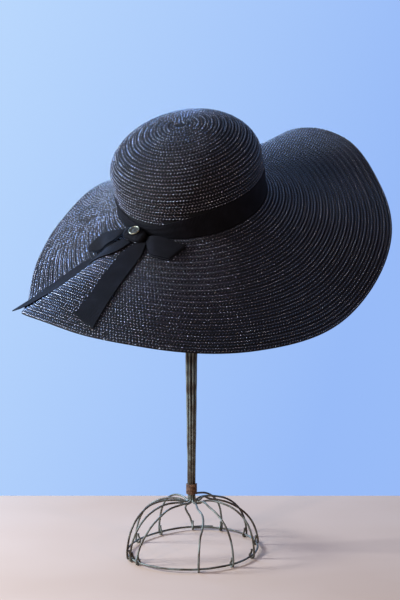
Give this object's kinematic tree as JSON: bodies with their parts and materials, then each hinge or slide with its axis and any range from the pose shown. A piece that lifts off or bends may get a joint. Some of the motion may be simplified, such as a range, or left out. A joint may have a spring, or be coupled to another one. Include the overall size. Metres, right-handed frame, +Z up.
{
  "type": "wide-brim straw hat on a wire hat stand",
  "caption": "Round-crowned straw hat with a wide drooping brim, ribbon band, bow and badge, tipped forward on a stand of bound wires with a domed foot and head.",
  "frame": {"origin": "on the resting plane, under the middle of the bounding box; the stem stands 14.7 mm to the left of it and 24.5 mm in front of it", "axes": "+Z up along the stem, +X to the picture's right, -Y towards its viewer"},
  "size_m": [0.4864, 0.4752, 0.5752],
  "materials": {
    "straw_braid": "near-black blue straw braid with a slight sheen",
    "grosgrain_ribbon": "matt dark purple-grey grosgrain",
    "badge_metal": "pale polished gold rim",
    "badge_centre": "dark plain centre",
    "stand_wire": "dull grey-green oxidised steel wire with brown rust",
    "rusty_binding_wire": "rusty thin steel wire"
  },
  "bodies": {
    "root": {"crown": "straw_braid", "brim": "straw_braid", "hat_band": "grosgrain_ribbon", "ribbon_tail_front": "grosgrain_ribbon", "ribbon_tail_left": "grosgrain_ribbon", "bow_loop_right": "grosgrain_ribbon", "bow_loop_left": "grosgrain_ribbon", "bow_knot": "grosgrain_ribbon", "badge_ring": "badge_metal", "badge_disc": "badge_centre", "stand_base_ring": "stand_wire", "stand_head_ring": "stand_wire", "stand_binding_lower": "rusty_binding_wire", "stand_binding_upper": "rusty_binding_wire", "stand_wire_01": "stand_wire", "stand_wire_02": "stand_wire", "stand_wire_03": "stand_wire", "stand_wire_04": "stand_wire", "stand_wire_05": "stand_wire", "stand_wire_06": "stand_wire", "stand_wire_07": "stand_wire", "stand_wire_08": "stand_wire", "stand_wire_09": "stand_wire", "stand_wire_10": "stand_wire", "stand_wire_11": "stand_wire", "stand_wire_12": "stand_wire"}
  },
  "joints": []
}
